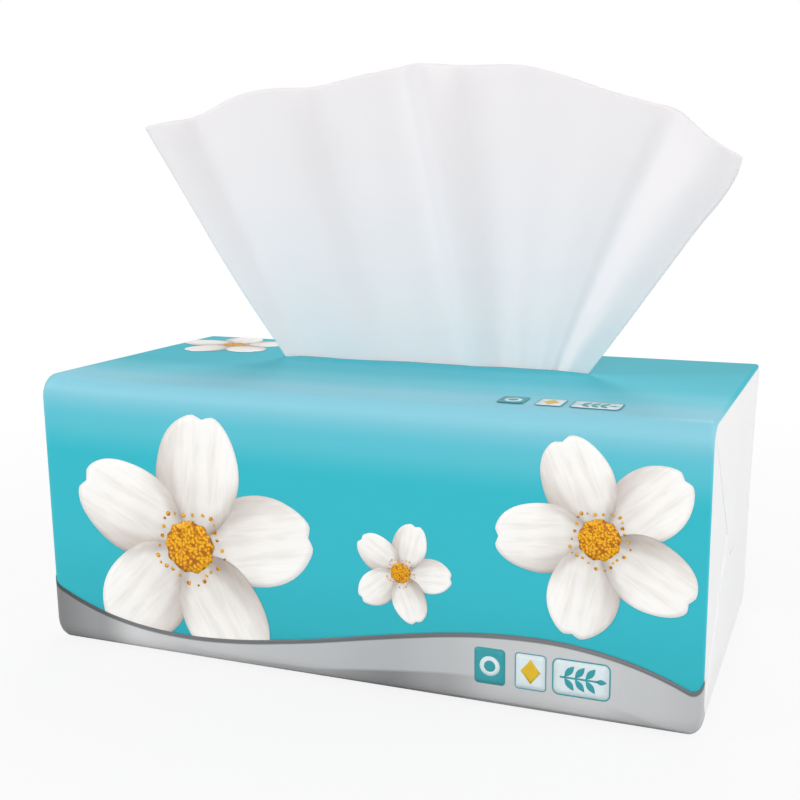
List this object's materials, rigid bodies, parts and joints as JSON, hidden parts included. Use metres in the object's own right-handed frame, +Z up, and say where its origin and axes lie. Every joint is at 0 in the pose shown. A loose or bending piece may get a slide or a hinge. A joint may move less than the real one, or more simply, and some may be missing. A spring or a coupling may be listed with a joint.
{
  "type": "tissue box",
  "caption": "Film-wrapped soft pack of interfolded facial tissues, printed with blossoms, with one tissue fanned out of the slit in its top.",
  "frame": {"origin": "centre of the underside, on the surface that the pack stands on", "axes": "+X along the pack towards its right-hand end, +Y from its front to its back, +Z up"},
  "size_m": [0.21, 0.108, 0.1845],
  "materials": {
    "white_film": "satin",
    "tissue": "matte",
    "teal_ink": "satin",
    "silver_ink": "satin",
    "white_ink": "satin",
    "yellow_ink": "satin"
  },
  "bodies": {
    "root": {"film_wrapper": "white_film", "tissue_stack": "tissue", "leading_tissue": "tissue", "print_ground": "teal_ink", "print_base_band": "silver_ink", "print_blossoms": "white_ink", "print_blossom_centres": "yellow_ink"}
  },
  "joints": []
}
